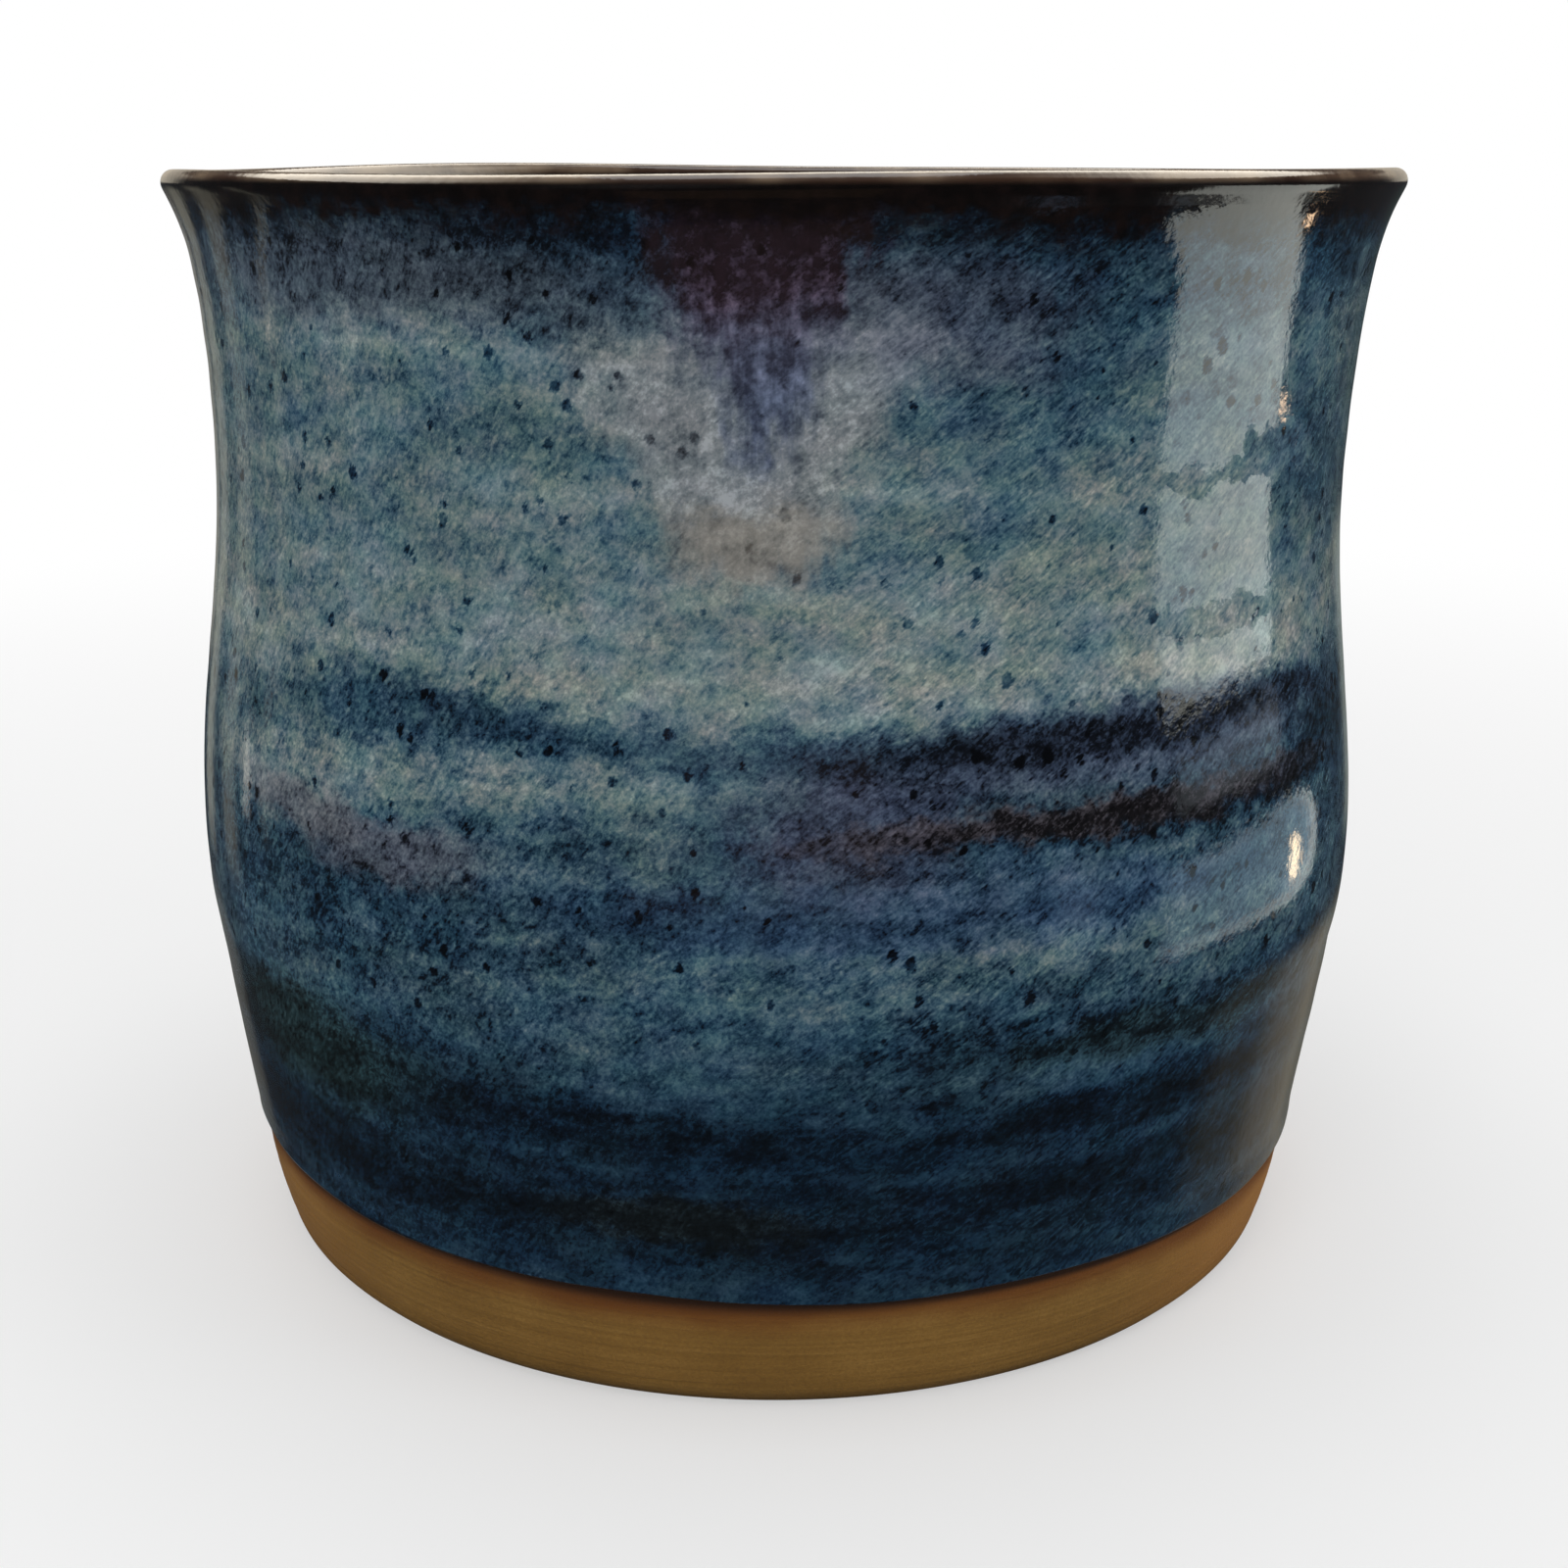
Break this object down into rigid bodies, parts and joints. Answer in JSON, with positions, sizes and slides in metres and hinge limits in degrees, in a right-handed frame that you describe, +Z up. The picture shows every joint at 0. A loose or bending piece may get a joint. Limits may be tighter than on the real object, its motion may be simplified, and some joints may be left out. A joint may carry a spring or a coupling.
{
  "type": "vase",
  "caption": "Wheel-thrown stoneware vase with a flared lip, a waist and a low belly, mottled dark blue glaze and a bare clay foot.",
  "frame": {"origin": "centre of the foot ring, on the surface the vase stands on", "axes": "+Z up the axis of the wheel it was thrown on; -Y towards the front, the side of the wall that is seen"},
  "size_m": [0.152, 0.152, 0.135],
  "materials": {
    "stoneware": "bare fired stoneware, matt tan-brown with turning lines, rust-orange beside the glaze",
    "dark_glaze": "glossy dark navy glaze",
    "mottled_glaze": "glossy mottled grey-blue glaze with navy and purple streaks and dark teal specks",
    "iron_glaze": "glossy thin glaze broken to iron brown",
    "liner_glaze": "glossy dark blue-grey glaze"
  },
  "bodies": {
    "root": {"stoneware_body": "stoneware", "base_glaze": "dark_glaze", "over_glaze": "mottled_glaze", "lip_glaze": "iron_glaze", "liner_glaze": "liner_glaze"}
  },
  "joints": []
}
